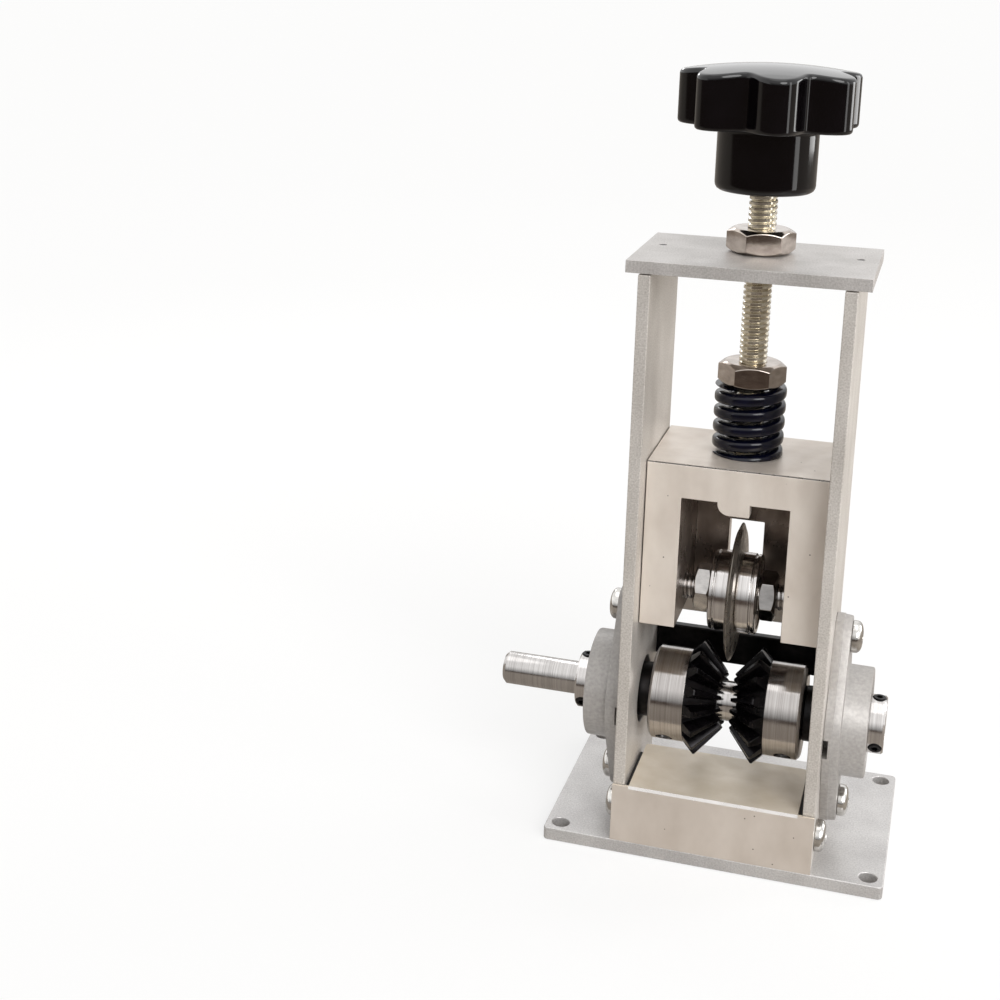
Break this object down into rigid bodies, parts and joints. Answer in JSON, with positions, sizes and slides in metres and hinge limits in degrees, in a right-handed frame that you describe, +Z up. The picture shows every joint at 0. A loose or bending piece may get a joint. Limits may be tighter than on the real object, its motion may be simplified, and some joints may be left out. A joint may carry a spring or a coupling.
{
  "type": "manual wire stripping machine",
  "caption": "Bench wire stripper: toothed feed wheels on a drive shaft under a round blade, in a sliding block set by a sprung hand screw with a star knob.",
  "frame": {"origin": "centre of the base plate's underside, in the middle of its four mounting holes", "axes": "+X along the drive shaft to its plain end (the drive end points to -X), +Y to the back where the cable comes out, +Z up along the hand screw"},
  "size_m": [0.12, 0.068, 0.232],
  "materials": {
    "base_aluminium": "matte natural anodised aluminium",
    "plate_aluminium": "matte anodised aluminium, slightly warm grey",
    "block_aluminium": "milled, uncoated, warm tone",
    "cast_grey": "matte grey die casting",
    "chrome_screw": "bright nickel plate",
    "nut_nickel": "nickel-plated steel",
    "thread_zinc": "yellowish zinc-plated steel",
    "ring_steel": "ground bearing steel",
    "shaft_steel": "turned steel",
    "black_steel": "black oxide, slightly glossy",
    "blade_steel": "hardened ground steel",
    "spring_steel": "blue-black lacquered spring steel",
    "knob_plastic": "glossy black phenolic plastic",
    "brass": "turned",
    "seal_rubber": "matte"
  },
  "bodies": {
    "frame": {"base_plate": "base_aluminium", "base_block": "base_aluminium", "left_side_plate": "plate_aluminium", "right_side_plate": "plate_aluminium", "top_plate": "plate_aluminium", "top_dowels": "black_steel", "base_screws": "chrome_screw", "block_screws": "chrome_screw", "flange_screws": "chrome_screw", "cable_rest": "black_steel", "rest_pins": "black_steel", "lock_nut": "nut_nickel", "left_housing": "cast_grey", "right_housing": "cast_grey", "left_outer_ring": "ring_steel", "right_outer_ring": "ring_steel", "left_seals": "seal_rubber", "right_seals": "seal_rubber", "left_balls": "ring_steel", "right_balls": "ring_steel"},
    "feed_shaft": {"drive_shaft": "shaft_steel", "left_feed_wheel": "black_steel", "right_feed_wheel": "black_steel", "left_sleeve": "black_steel", "right_sleeve": "black_steel", "left_inner_ring": "ring_steel", "right_inner_ring": "ring_steel", "ring_set_screws": "black_steel", "hub_set_screws": "black_steel"},
    "spring_seat": {"pressure_spring": "spring_steel"},
    "screw": {"hand_screw": "thread_zinc", "spring_nut": "nut_nickel", "keeper_nut": "nut_nickel", "star_knob": "knob_plastic", "knob_insert": "brass"},
    "blade_block": {"sliding_block": "block_aluminium", "blade_axle": "shaft_steel", "axle_nuts": "ring_steel", "left_race": "ring_steel", "right_race": "ring_steel", "axle_spacer": "ring_steel", "roller_balls": "ring_steel"},
    "blade_roller": {"blade": "blade_steel", "left_roller": "ring_steel", "right_roller": "ring_steel", "roller_shields": "blade_steel"}
  },
  "joints": [
    {"name": "feed_spin", "type": "hinge", "parent": "frame", "child": "feed_shaft", "pos_m": [0, -0.0085, 0.042], "axis": [1, 0, 0], "continuous": true},
    {"name": "screw_travel", "type": "slide", "parent": "frame", "child": "spring_seat", "axis": [0, 0, 1], "range_m": [-0.004, 0.02]},
    {"name": "knob_turn", "type": "hinge", "parent": "spring_seat", "child": "screw", "pos_m": [0, -0.0065, 0.2], "axis": [0, 0, 1], "range_deg": [-901, 4501]},
    {"name": "blade_float", "type": "slide", "parent": "spring_seat", "child": "blade_block", "axis": [0, 0, 1], "range_m": [0, 0.004], "stiffness_N_per_m": 6000, "springref_m": -0.003, "deforming": ["pressure_spring"]},
    {"name": "blade_spin", "type": "hinge", "parent": "blade_block", "child": "blade_roller", "pos_m": [0, -0.0085, 0.0775], "axis": [1, 0, 0], "continuous": true}
  ],
  "couplings": [
    {"joint": "knob_turn", "follows": "screw_travel", "rad_per_m": 3927}
  ]
}
